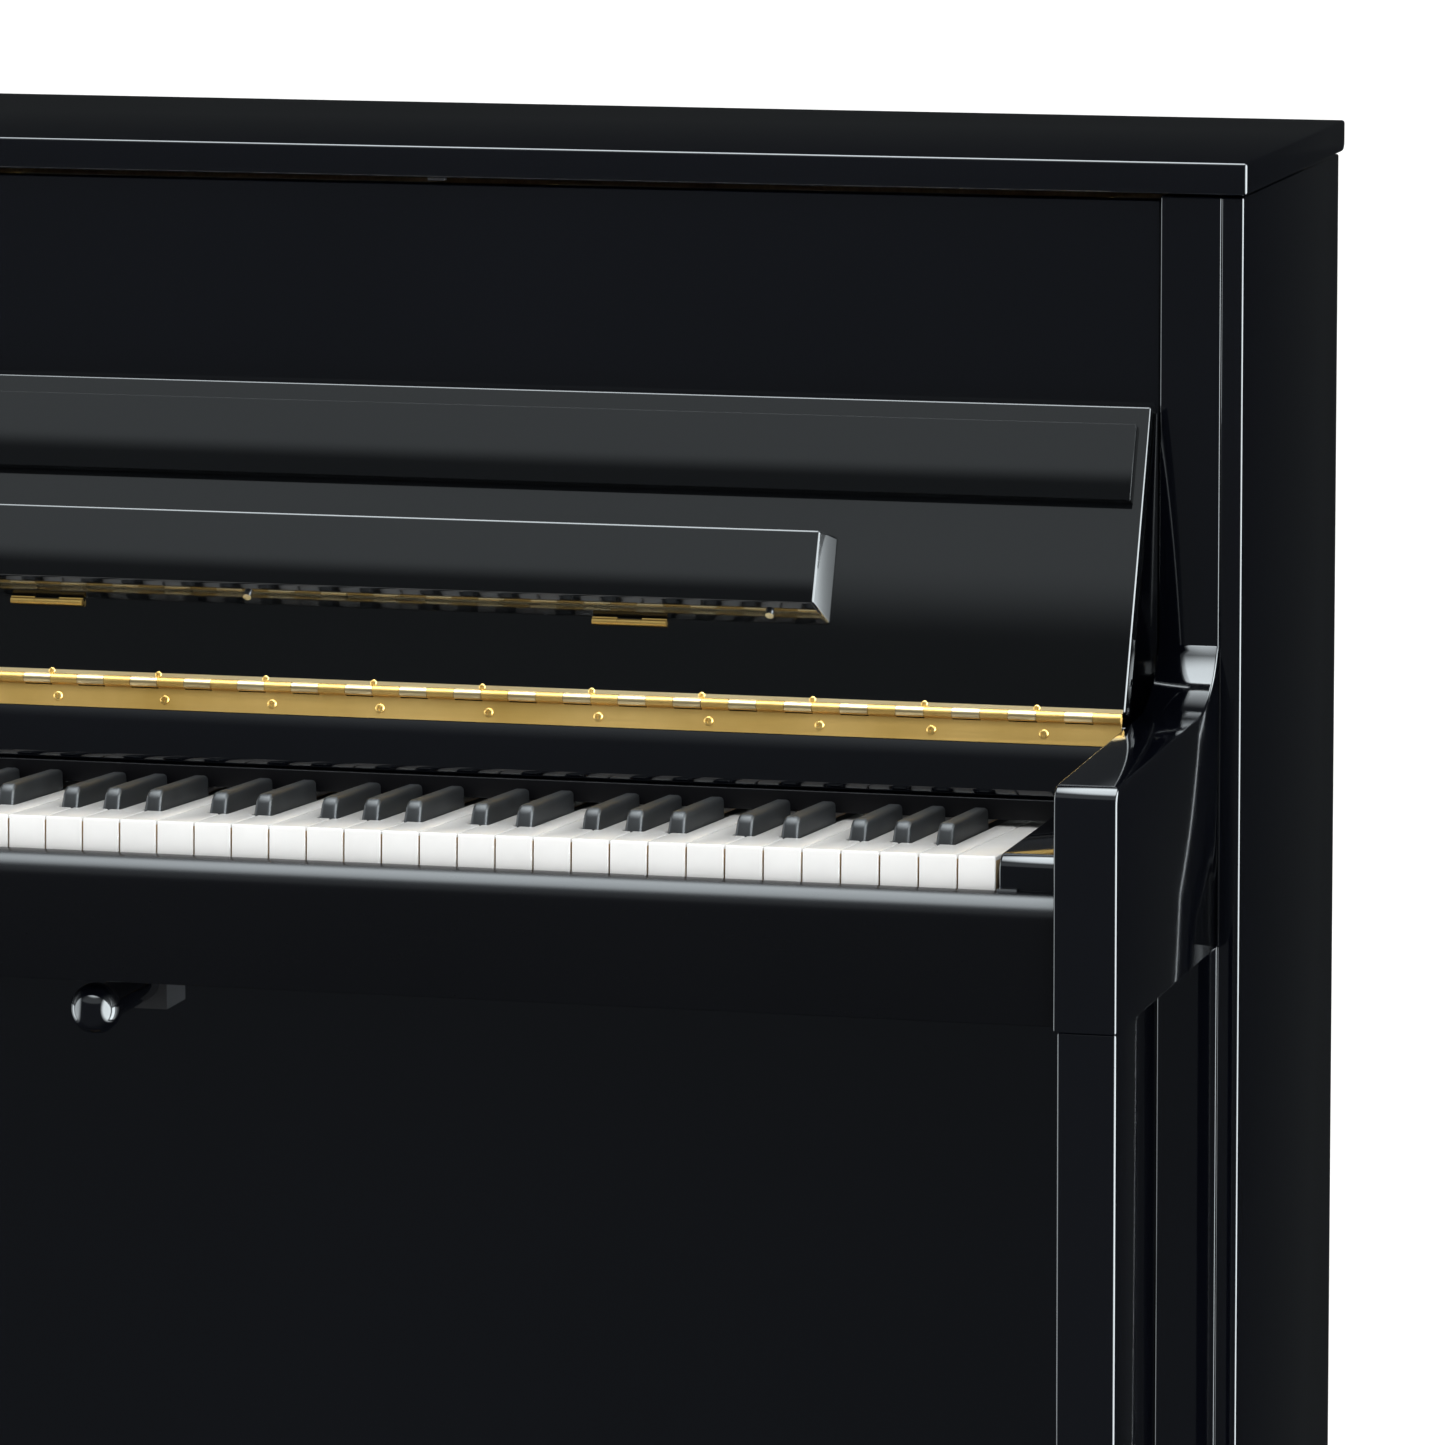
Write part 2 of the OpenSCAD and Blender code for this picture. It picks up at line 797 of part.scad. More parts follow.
// One pedal: rounded toe, narrow arm back to the pivot pin
module pedal(x) {
    arm_w = pedal_w * 0.6;
    translate([x, 0, pedal_z - 9])
        linear_extrude(height = 9) {
            translate([0, pedal_tip_y + pedal_w / 2])
                circle(r = pedal_w / 2, $fn = 48);
            polygon([[-pedal_w / 2, pedal_tip_y + pedal_w / 2], [pedal_w / 2, pedal_tip_y + pedal_w / 2],
                [pedal_w / 2, pedal_tip_y + 60], [arm_w / 2, side_y - 14], [arm_w / 2, pedal_pivot_y + pedal_tail],
                [-arm_w / 2, pedal_pivot_y + pedal_tail], [-arm_w / 2, side_y - 14],
                [-pedal_w / 2, pedal_tip_y + 60]]);
        }
    translate([x, pedal_pivot_y, pedal_pivot_z])
        rod(pedal_w + 16, pedal_pin_r, 32);
}

module pedal_soft() {
    color([0.80, 0.64, 0.30])
        pedal(-pedal_pitch);
}

module pedal_mute() {
    color([0.80, 0.64, 0.30])
        pedal(0);
}

module pedal_sustain() {
    color([0.80, 0.64, 0.30])
        pedal(pedal_pitch);
}

// Two bored cheeks for each pedal's pin, standing on the bottom board
module pedal_bearings() {
    color([0.35, 0.35, 0.37])
        for (i = [-1 : 1], side = [-1, 1])
            translate([i * pedal_pitch + side * (pedal_w / 2 + 4), pedal_pivot_y, 0])
                difference() {
                    block([-3, -12, glide_h + 24], [3, 12, pedal_pivot_z + 10]);
                    translate([0, 0, pedal_pivot_z])
                        rod(20, pedal_pin_r + run_gap, 32);
                }
}

hammer_y = rail_y + 8;
damper_y = wire_y - 28;

// Brackets and main rail of the action
module action_frame() {
    color([0.45, 0.36, 0.24]) {
        block([-action_half - 8, rail_y - 14, rail_z - 26], [action_half + 8, rail_y, rail_z - 4]);
        for (x = [-action_half + 32, note_shift + 28, action_half - 32])
            block([x - 6, rail_y - 14, bed_top], [x + 6, rail_y, rail_z - 26]);
    }
}

// Rest rail with the hammers: shanks and felt heads
module hammers() {
    color([0.88, 0.84, 0.76]) {
        translate([0, hammer_y, rail_z])
            rod(2 * action_half, 6, 48);
        block([-action_half, hammer_y - 6, rail_z], [action_half, hammer_y + 4, rail_z + 14]);
        for (i = [0 : note_n - 1])
            translate([note_x0 + i * note_pitch + wire_side, hammer_y, 0]) {
                translate([0, 0, rail_z + 14])
                    cylinder(h = strike_z - rail_z - 14, r = 2.6, $fn = 8);
                block([-4.5, -8, strike_z - 9], [4.5, 14, strike_z + 9]);
            }
    }
}

// Rail with the damper arms and their felts
module dampers() {
    color([0.80, 0.76, 0.70]) {
        translate([0, damper_y, rail_z - 20])
            rod(2 * action_half, 5, 48);
        block([-action_half, damper_y - 6, rail_z - 20], [action_half, damper_y + 2, rail_z - 8]);
        for (i = [0 : note_n - 20])
            translate([note_x0 + i * note_pitch + wire_side, damper_y, 0]) {
                block([-1.5, -4, rail_z - 8], [1.5, 0, rail_z + 78]);
                block([-4, 0, rail_z + 60], [4, wire_y - 2.6 - damper_y, rail_z + 78]);
            }
    }
}

// Felt strip on a rail that drops between hammers and strings
module mute_rail() {
    color([0.75, 0.20, 0.18])
        block([-action_half, wire_y - 9, strike_z + 22], [action_half, wire_y - 4, strike_z + 52]);
}

sharp_half = sharp_w / 2 + sharp_gap;
white_w = key_pitch - key_gap;
key_h = cap_t + stick_h;
tail_end = key_lever + key_tail;
// Middle of each sharp from the left edge of its octave's C
sharp_mid = [0.90, 2.10, 3.87, 5, 6.13] * key_pitch;

// Places things in a key's own axes: y back from its front edge, z up from its top
module on_key(x) {
    translate([x, balance_y, key_top(balance_y)])
        rotate([-key_slope, 0, 0])
            translate([0, -key_lever, 0])
                children();
}

// Left edge of an octave's C
function octave_x(k) = key_x0 + (2 + 7 * k) * key_pitch;

// One white key: full-width head from x0, tail between ta and tb, all from the octave's C
module white_key(k, x0, ta, tb) {
    on_key(octave_x(k))
        translate([0, 0, -key_h])
            linear_extrude(height = key_h)
                polygon([[x0, 0], [x0 + white_w, 0], [x0 + white_w, head_l], [tb, head_l],
                    [tb, tail_end], [ta, tail_end], [ta, head_l], [x0, head_l]]);
}

// White keys of one name: step in the octave, sharps to the left and right, or -1 for none
module white_keys(n, left, right, k0, k1) {
    x0 = n * key_pitch + key_gap / 2;
    x1 = x0 + white_w;
    color([0.95, 0.95, 0.93])
        for (k = [k0 : k1]) {
            first = octave_x(k) + x0 < key_x0 + key_pitch;
            last = octave_x(k) + x1 > key_x0 + 51 * key_pitch;
            ta = left < 0 || first ? x0 : sharp_mid[left] + sharp_half;
            tb = right < 0 || last ? x1 : sharp_mid[right] - sharp_half;
            white_key(k, x0, ta, tb);
        }
}

// One sharp: stick level with the whites' tops, block above it with sloping sides and front
module sharp_key(x) {
    top_w = sharp_w - 1.5;
    drop = 2;
    on_key(x) {
        block([-sharp_w / 2, head_l + sharp_gap, -key_h], [sharp_w / 2, tail_end, -drop]);
        intersection() {
            across(-sharp_w / 2, sharp_w / 2)
                polygon([[head_l + sharp_gap, -drop], [head_l + sharp_gap + 4, sharp_h - 3],
                    [head_l + sharp_gap + 8, sharp_h], [head_l + sharp_l, sharp_h],
                    [head_l + sharp_l, -drop]]);
            translate([0, tail_end, 0])
                rotate([90, 0, 0])
                    linear_extrude(height = tail_end)
                        polygon([[-sharp_w / 2, -drop], [sharp_w / 2, -drop],
                            [top_w / 2, sharp_h], [-top_w / 2, sharp_h]]);
        }
    }
}

// Sharps of one name, over the octaves from k0
module sharp_keys(n, k0) {
    color([0.07, 0.07, 0.08])
        for (k = [k0 : 6])
            sharp_key(octave_x(k) + sharp_mid[n]);
}

module key_c() { white_keys(0, -1, 0, 0, 7); }
module key_d() { white_keys(1, 0, 1, 0, 6); }
module key_e() { white_keys(2, 1, -1, 0, 6); }
module key_f() { white_keys(3, -1, 2, 0, 6); }
module key_g() { white_keys(4, 2, 3, 0, 6); }
module key_a() { white_keys(5, 3, 4, -1, 6); }
module key_b() { white_keys(6, 4, -1, -1, 6); }
module key_c_sharp() { sharp_keys(0, 0); }
module key_d_sharp() { sharp_keys(1, 0); }
module key_f_sharp() { sharp_keys(2, 0); }
module key_g_sharp() { sharp_keys(3, 0); }
module key_a_sharp() { sharp_keys(4, -1); }

side_panel_left();
side_panel_right();
arms();
front_stiles();
front_legs();
toe_blocks();
floor_glides();
back_frame();
pin_block();
soundboard();
soundboard_ribs();
bridges();
iron_plate();
tuning_pins();
strings();
key_bed();
key_frame();
key_pins();
key_slip();
key_blocks();
key_block_plates();
name_strip();
fallboard_rail();
upper_panel();
lower_panel();
bottom_rail();
bottom_board();
lid();
lid_hinges();
lid_hinge_leaves();
fallboard();
long_hinge_lower();
long_hinge_upper();
fallboard_lip();
lip_hinges();
music_shelf();
shelf_hinges();
shelf_hinge_leaves();
shelf_bumpers();
pull_knob();
pedal_soft();
pedal_mute();
pedal_sustain();
pedal_bearings();
action_frame();
hammers();
dampers();
mute_rail();
key_c();
key_c_sharp();
key_d();
key_d_sharp();
key_e();
key_f();
key_f_sharp();
key_g();
key_g_sharp();
key_a();
key_a_sharp();
key_b();
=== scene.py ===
"""Looks of the upright piano: polished black case, brass fittings, keyboard, wooden back."""
import json
import math

import bmesh
import bpy
from mathutils import Matrix, Vector


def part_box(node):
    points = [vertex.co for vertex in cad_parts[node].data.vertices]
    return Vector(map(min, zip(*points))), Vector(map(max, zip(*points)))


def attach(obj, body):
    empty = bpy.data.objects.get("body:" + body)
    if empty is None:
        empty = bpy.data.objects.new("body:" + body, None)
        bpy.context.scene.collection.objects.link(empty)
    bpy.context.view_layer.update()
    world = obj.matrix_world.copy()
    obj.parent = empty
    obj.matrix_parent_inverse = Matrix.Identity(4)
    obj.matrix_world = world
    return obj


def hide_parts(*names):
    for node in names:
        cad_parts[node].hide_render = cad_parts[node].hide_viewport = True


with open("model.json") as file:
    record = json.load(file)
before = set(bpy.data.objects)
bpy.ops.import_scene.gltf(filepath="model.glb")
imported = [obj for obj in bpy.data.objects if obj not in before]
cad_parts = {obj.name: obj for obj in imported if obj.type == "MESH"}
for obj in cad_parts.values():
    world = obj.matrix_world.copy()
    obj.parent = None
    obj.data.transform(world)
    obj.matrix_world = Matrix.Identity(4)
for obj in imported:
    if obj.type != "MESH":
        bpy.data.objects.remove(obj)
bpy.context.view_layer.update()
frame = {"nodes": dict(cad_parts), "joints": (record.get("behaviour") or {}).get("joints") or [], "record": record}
MM = 0.001
BODY_OF = {node: body for body, nodes in frame["record"]["behaviour"]["bodies"].items() for node in nodes}
SLOT_OF = {s["node"]: s["material_slot"] for s in frame["record"]["subparts"]}


# ---------------------------------------------------------------- camera, light and floor

CAMERA_PLACE = (1.7766, -5.0637, 1.5838)
# Degrees turned to the left, tipped down and rolled
CAMERA_YAW, CAMERA_DOWN, CAMERA_ROLL = 15.07, 8.985, -0.17
# Lens length over sensor width
FOCAL_RATIO = 5.931

# Brightness of what polished surfaces mirror
CEILING, RIGHT_BOX, LEFT_BOX = 12.0, 14.0, 5.0
FRONT_WALL, FRONT_HIGH, ROOM = 0.09, 0.62, 0.02


def make_camera():
    """Long-lens camera in front of the treble end, a little above the keys."""
    data = bpy.data.cameras.new("camera")
    data.sensor_width = 36
    data.lens = FOCAL_RATIO * data.sensor_width
    data.clip_end = 100
    cam = bpy.data.objects.new("camera", data)
    bpy.context.scene.collection.objects.link(cam)
    yaw, down, roll = (math.radians(v) for v in (CAMERA_YAW, CAMERA_DOWN, CAMERA_ROLL))
    turn = Matrix.Rotation(yaw, 4, "Z") @ Matrix.Rotation(math.pi / 2 - down, 4, "X")
    turn = turn @ Matrix.Rotation(roll, 4, "Z")
    cam.matrix_world = Matrix.Translation(CAMERA_PLACE) @ turn
    bpy.context.scene.camera = cam


def make_world():
    """Even white light on plain surfaces; mirror reflections see soft boxes in a dark room."""
    world = bpy.data.worlds.new("studio")
    world.use_nodes = True
    bpy.context.scene.world = world
    nodes, links = world.node_tree.nodes, world.node_tree.links

    def math_node(operation, a, b):
        node = nodes.new("ShaderNodeMath")
        node.operation = operation
        for socket, value in zip(node.inputs, (a, b)):
            if isinstance(value, float):
                socket.default_value = value
            else:
                links.new(value, socket)
        return node.outputs[0]

    def smooth(source, start, end, strength):
        """Rises from 0 to a strength while the source goes from start to end."""
        node = nodes.new("ShaderNodeMapRange")
        node.interpolation_type = "SMOOTHSTEP"
        node.inputs["From Min"].default_value = start
        node.inputs["From Max"].default_value = end
        node.inputs["To Max"].default_value = strength
        links.new(source, node.inputs["Value"])
        return node.outputs[0]

    split = nodes.new("ShaderNodeSeparateXYZ")
    links.new(nodes.new("ShaderNodeTexCoord").outputs["Generated"], split.inputs[0])
    right, back, up = split.outputs
    left = math_node("MULTIPLY", right, -1.0)
    front = math_node("MULTIPLY", back, -1.0)
    boxes = [smooth(up, 0.80, 0.97, CEILING), smooth(right, 0.60, 0.82, RIGHT_BOX),
             smooth(left, 0.75, 0.92, LEFT_BOX), smooth(front, -0.2, 0.5, FRONT_WALL),
             math_node("MULTIPLY", smooth(up, 0.44, 0.56, FRONT_HIGH), smooth(front, 0.2, 0.6, 1.0))]
    total = boxes[0]
    for box in boxes[1:]:
        total = math_node("ADD", total, box)
    total = math_node("ADD", total, ROOM)
    mirror_view = nodes.new("ShaderNodeBackground")
    mirror_view.inputs["Color"].default_value = (0.88, 0.96, 1.0, 1)
    links.new(total, mirror_view.inputs["Strength"])
    even = nodes["Background"]
    even.inputs["Color"].default_value = (1, 1, 1, 1)
    even.inputs["Strength"].default_value = 1.25
    mix = nodes.new("ShaderNodeMixShader")
    links.new(nodes.new("ShaderNodeLightPath").outputs["Is Glossy Ray"], mix.inputs[0])
    links.new(even.outputs[0], mix.inputs[1])
    links.new(mirror_view.outputs[0], mix.inputs[2])
    links.new(mix.outputs[0], nodes["World Output"].inputs["Surface"])


def make_stage():
    """Pale floor that mirror reflections don't show, as under a black cloth."""
    mesh = bpy.data.meshes.new("floor")
    far = 40
    mesh.from_pydata([(-far, -far, 0), (far, -far, 0), (far, far, 0), (-far, far, 0)], [], [(0, 1, 2, 3)])
    floor = bpy.data.objects.new("floor", mesh)
    bpy.context.scene.collection.objects.link(floor)
    floor.data.materials.append(floor_material())
    floor.visible_glossy = False
    bpy.context.scene.view_settings.view_transform = "Standard"


# ---------------------------------------------------------------- materials

class Maker:
    """Small helper that adds nodes to one material."""

    def __init__(self, name):
        self.material = bpy.data.materials.new(name)
        self.material.use_nodes = True
        self.tree = self.material.node_tree
        self.shader = self.tree.nodes["Principled BSDF"]
        self.place = self.add("TexCoord").outputs["Object"]

    def add(self, kind, **values):
        node = self.tree.nodes.new("ShaderNode" + kind)
        for key, value in values.items():
            setattr(node, key, value)
        return node

    def link(self, a, b):
        self.tree.links.new(a, b)

    def setup(self, **values):
        for key, value in values.items():
            self.shader.inputs[key.replace("_", " ").title()].default_value = value

    def stretched(self, scale):
        """Object place, scaled differently along each axis."""
        node = self.add("Mapping")
        node.inputs["Scale"].default_value = scale
        self.link(self.place, node.inputs["Vector"])
        return node.outputs[0]

    def noise(self, scale, detail=3.0, vector=None):
        node = self.add("TexNoise")
        node.inputs["Scale"].default_value = scale
        node.inputs["Detail"].default_value = detail
        self.link(vector or self.place, node.inputs["Vector"])
        return node.outputs["Fac"]

    def ramp(self, source, stops):
        """Colour ramp through (position, colour) stops."""
        node = self.add("ValToRGB")
        points = node.color_ramp.elements
        while len(points) < len(stops):
            points.new(0.5)
        for point, (position, colour) in zip(points, stops):
            point.position = position
            point.color = (*colour, 1)
        self.link(source, node.inputs[0])
        return node.outputs[0]

    def span(self, source, low, high):
        """Spreads a 0 to 1 value over low to high."""
        node = self.add("MapRange")
        node.inputs["To Min"].default_value = low
        node.inputs["To Max"].default_value = high
        self.link(source, node.inputs["Value"])
        return node.outputs[0]

    def bump(self, source, depth, strength=0.3):
        node = self.add("Bump")
        node.inputs["Distance"].default_value = depth
        node.inputs["Strength"].default_value = strength
        self.link(source, node.inputs["Height"])
        self.link(node.outputs[0], self.shader.inputs["Normal"])


def floor_material():
    m = Maker("pale_floor")
    pale = m.ramp(m.noise(0.8), [(0.3, (0.95, 0.95, 0.95)), (0.7, (0.97, 0.97, 0.97))])
    m.link(pale, m.shader.inputs["Base Color"])
    m.setup(roughness=0.9)
    m.shader.inputs["Specular IOR Level"].default_value = 0.0
    return m.material


def polish(name, dark, light, rough=0.05, shine=0.5, coat=0.3):
    """Thick clear lacquer over black: faint ripple, fine dust and hairline scratches."""
    m = Maker(name)
    m.link(m.ramp(m.noise(2.2, 4), [(0.35, dark), (0.7, light)]), m.shader.inputs["Base Color"])
    dust = m.noise(900, 2)
    hairs = m.noise(1, 6, m.stretched((30, 900, 900)))
    both = m.add("Math", operation="MULTIPLY")
    m.link(dust, both.inputs[0])
    m.link(hairs, both.inputs[1])
    m.link(m.span(both.outputs[0], rough, rough + 0.08), m.shader.inputs["Roughness"])
    m.bump(m.noise(26, 2), 0.00005, 0.12)
    m.shader.inputs["Specular IOR Level"].default_value = shine
    m.shader.inputs["Coat Weight"].default_value = coat
    m.shader.inputs["Coat Roughness"].default_value = 0.02
    return m.material


def metal(name, dark, light, rough, along=(4, 700, 700)):
    """Metal with a fine brushed grain along x and slight tarnish."""
    m = Maker(name)
    m.setup(metallic=1.0)
    m.link(m.ramp(m.noise(18, 4), [(0.3, dark), (0.7, light)]), m.shader.inputs["Base Color"])
    grain = m.noise(1, 3, m.stretched(along))
    m.link(m.span(grain, rough, rough + 0.18), m.shader.inputs["Roughness"])
    m.bump(grain, 0.00003, 0.25)
    return m.material


def wood(name, dark, light, rough=0.45, along="Z"):
    """Long grain along one axis, with growth bands and open pores."""
    m = Maker(name)
    stretch = {"X": (2, 60, 60), "Z": (60, 60, 2)}[along]
    vector = m.stretched(stretch)
    bands = m.noise(0.8, 6, vector)
    pores = m.noise(9, 3, vector)
    mix = m.add("Mix", data_type="RGBA", blend_type="MULTIPLY")
    mix.inputs["Factor"].default_value = 0.35
    m.link(m.ramp(bands, [(0.3, dark), (0.5, light), (0.72, dark)]), mix.inputs["A"])
    m.link(m.ramp(pores, [(0.35, (0.45, 0.40, 0.35)), (0.6, (1, 1, 1))]), mix.inputs["B"])
    m.link(mix.outputs["Result"], m.shader.inputs["Base Color"])
    m.link(m.span(pores, rough, rough + 0.2), m.shader.inputs["Roughness"])
    m.bump(pores, 0.0002, 0.3)
    return m.material


def felt(name, dark, light):
    """Pressed wool: mottled colour, fibrous bump and sheen."""
    m = Maker(name)
    fibres = m.noise(420, 6)
    m.link(m.ramp(fibres, [(0.3, dark), (0.7, light)]), m.shader.inputs["Base Color"])
    m.setup(roughness=0.95)
    m.shader.inputs["Sheen Weight"].default_value = 0.5
    m.shader.inputs["Sheen Roughness"].default_value = 0.5
    m.bump(fibres, 0.0006, 0.6)
    return m.material


def key_plastic(name, dark, light, rough, bump):
    """Moulded key covering: very even colour with a faint texture."""
    m = Maker(name)
    m.link(m.ramp(m.noise(40, 3), [(0.3, dark), (0.7, light)]), m.shader.inputs["Base Color"])
    fine = m.noise(1500, 2)
    m.link(m.span(fine, rough, rough + 0.08), m.shader.inputs["Roughness"])
    m.bump(fine, 0.00004, bump)
    return m.material


def cast_plate(name):
    """Bronze paint over a sand-cast surface."""
    m = Maker(name)
    grains = m.noise(300, 5)
    bronze = m.ramp(grains, [(0.3, (0.34, 0.22, 0.07)), (0.7, (0.52, 0.36, 0.13))])
    m.link(bronze, m.shader.inputs["Base Color"])
    m.setup(metallic=0.8, roughness=0.4)
    m.bump(grains, 0.0004, 0.4)
    return m.material


MATERIALS = {
    "case_polish": polish("case_polish", (0.0014, 0.0018, 0.0034), (0.0022, 0.0026, 0.0046)),
    "fallboard_polish": polish("fallboard_polish", (0.0016, 0.0020, 0.0026), (0.0026, 0.0030, 0.0036)),
    "slip_polish": polish("slip_polish", (0.0018, 0.0022, 0.0036), (0.0026, 0.0030, 0.0046),
                          rough=0.24, shine=0.34, coat=0.0),
    # Black for the name strip, darker than the key bed's black: painted shade under the fixed board's nose
    "strip_painted_shade_black": polish("strip_painted_shade_black", (0.002, 0.002, 0.003), (0.004, 0.004, 0.005),
                          rough=0.4, shine=0.15, coat=0.0),
    # Lit and shaded copies of one brass: the pale copy paints the highlight on the upper leaf's knuckles, the deep
    # copy paints the shade on the lower leaf and recessed knuckles
    "brass_painted_highlight": metal("brass_painted_highlight", (0.84, 0.63, 0.32), (0.94, 0.76, 0.44), 0.24),
    "brass_painted_shade": metal("brass_painted_shade", (0.64, 0.40, 0.11), (0.80, 0.53, 0.18), 0.42),
    "brass": metal("brass", (0.70, 0.45, 0.13), (0.86, 0.60, 0.21), 0.34),
    "steel": metal("steel", (0.55, 0.56, 0.58), (0.72, 0.73, 0.75), 0.12),
    "white_key": key_plastic("white_key", (0.88, 0.885, 0.87), (0.93, 0.935, 0.92), 0.18, 0.1),
    "sharp_key": key_plastic("sharp_key", (0.008, 0.009, 0.010), (0.014, 0.016, 0.018), 0.40, 0.3),
    "back_wood": wood("back_wood", (0.42, 0.26, 0.12), (0.58, 0.39, 0.20)),
    "board_wood": wood("board_wood", (0.55, 0.36, 0.17), (0.70, 0.50, 0.27)),
    "hard_wood": wood("hard_wood", (0.28, 0.15, 0.07), (0.40, 0.24, 0.12), along="X"),
    "plate_iron": cast_plate("plate_iron"),
    "felt_white": felt("felt_white", (0.62, 0.58, 0.50), (0.78, 0.74, 0.66)),
    "felt_red": felt("felt_red", (0.20, 0.012, 0.012), (0.36, 0.03, 0.03)),
    "wire": metal("wire", (0.42, 0.42, 0.40), (0.62, 0.62, 0.60), 0.2, (700, 700, 4)),
    "bed_black": key_plastic("bed_black", (0.010, 0.010, 0.011), (0.018, 0.018, 0.020), 0.45, 0.5),
    "key_stick": wood("key_stick", (0.55, 0.38, 0.20), (0.70, 0.52, 0.30), along="Z"),
}


# Nodes whose finish differs from their slot's usual one: the hinge leaves get a paler and a deeper brass as
# painted highlight and painted shade, and the name strip a darker black as painted shade
SPECIAL_FINISH = {"key_slip": "slip_polish", "name_strip": "strip_painted_shade_black",
                  "long_hinge_lower": "brass_painted_shade", "long_hinge_upper": "brass_painted_highlight"}


def finish_of(node):
    return MATERIALS[SPECIAL_FINISH.get(node, SLOT_OF[node])]


def finish_cad_nodes():
    """Gives every CAD node that stays on show its material."""
    for node, obj in frame["nodes"].items():
        obj.data.materials.clear()
        obj.data.materials.append(finish_of(node))


# ---------------------------------------------------------------- eased and rounded pieces

def merged_copy(node):
    """A bmesh of a CAD node's shape, its loose triangles joined and flat faces made whole."""
    bm = bmesh.new()
    bm.from_mesh(frame["nodes"][node].data)
    bmesh.ops.remove_doubles(bm, verts=bm.verts, dist=1e-6)
    bmesh.ops.dissolve_limit(bm, angle_limit=math.radians(0.5), verts=bm.verts, edges=bm.edges)
    return bm


def piece_from(bm, name, body, materials):
    """Turns a bmesh into a finished piece that rides on a body."""
    bmesh.ops.recalc_face_normals(bm, faces=bm.faces)
    mesh = bpy.data.meshes.new(name)
    bm.to_mesh(mesh)
    bm.free()
    for material in materials:
        mesh.materials.append(material)
    obj = bpy.data.objects.new(name, mesh)
    bpy.context.scene.collection.objects.link(obj)
    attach(obj, body)
    return obj


def ease_edges(bm, radius, segments, sharper_than=20):
    """Rounds every edge that turns by more than an angle."""
    edges = [e for e in bm.edges if len(e.link_faces) == 2
             and e.calc_face_angle(0) > math.radians(sharper_than)]
    bmesh.ops.bevel(bm, geom=edges, offset=radius, segments=segments, profile=0.5,
                    affect="EDGES", clamp_overlap=True, harden_normals=False)


def shade_smooth(obj, angle=35):
    for polygon in obj.data.polygons:
        polygon.use_smooth = True
    obj.data.set_sharp_from_angle(angle=math.radians(angle))


def eased_piece(node, radius=1.0, segments=3):
    """Replaces a CAD node by the same shape with its edges eased."""
    bm = merged_copy(node)
    ease_edges(bm, radius * MM, segments)
    obj = piece_from(bm, node + "_eased", BODY_OF[node], [finish_of(node)])
    shade_smooth(obj)
    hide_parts(node)


# Radius in millimetres of each node's eased edges
EASE = {
    "side_panel_left": 1.2, "side_panel_right": 1.2, "arms": 1.4, "front_stiles": 1.2,
    "front_legs": 1.5, "toe_blocks": 1.5, "key_slip": 1.0, "key_blocks": 1.6,
    "fallboard_rail": 1.2, "upper_panel": 1.0, "lower_panel": 1.0, "bottom_rail": 1.2,
    "lid": 1.8, "fallboard": 1.4, "fallboard_lip": 1.3, "music_shelf": 1.8,
    "name_strip": 0.8, "back_frame": 1.5, "pedal_soft": 1.6, "pedal_mute": 1.6,
    "pedal_sustain": 1.6,
}


def make_eased_pieces():
    for node, radius in EASE.items():
        eased_piece(node, radius)


# The keys' tops fall toward the back at this angle, as the CAD nodes do
KEY_SLOPE = math.radians(3.3)
KEY_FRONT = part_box("key_c")[0][1]
KEY_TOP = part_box("key_c")[1][2]
FRONT_COVER = 2.2 * MM


def depth_under_top(point):
    """How far a point lies under the plane of the white keys' tops at rest."""
    return KEY_TOP - (point.y - KEY_FRONT) * math.tan(KEY_SLOPE) - point.z


def mark_sticks(bm, cap):
    """Gives the faces under a key's covering the second material, cut along the covering's edge."""
    under_cap = (Vector((0, KEY_FRONT, KEY_TOP - cap)),
                 Vector((0, math.sin(KEY_SLOPE), math.cos(KEY_SLOPE))))
    behind_front = (Vector((0, KEY_FRONT + FRONT_COVER, 0)), Vector((0, 1, 0)))
    for point, normal in (under_cap, behind_front):
        whole = bm.verts[:] + bm.edges[:] + bm.faces[:]
        bmesh.ops.bisect_plane(bm, geom=whole, plane_co=point, plane_no=normal, dist=1e-7)
    for face in bm.faces:
        middle = face.calc_center_median()
        if depth_under_top(middle) > cap and middle.y > KEY_FRONT + FRONT_COVER:
            face.material_index = 1


def make_keys():
    """White keys with rounded coverings on wooden sticks, and satin sharps."""
    for node in [n for n in frame["nodes"] if SLOT_OF[n].endswith("_key")]:
        bm = merged_copy(node)
        slot = SLOT_OF[node]
        white = slot == "white_key"
        ease_edges(bm, (1.0 if white else 2.4) * MM, 3 if white else 4, 12)
        mark_sticks(bm, (2.5 if white else 3.0) * MM)
        finishes = [MATERIALS[slot], MATERIALS["key_stick"]]
        obj = piece_from(bm, node + "_covered", BODY_OF[node], finishes)
        shade_smooth(obj, 40)
        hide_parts(node)


# ---------------------------------------------------------------- what repeats along a line

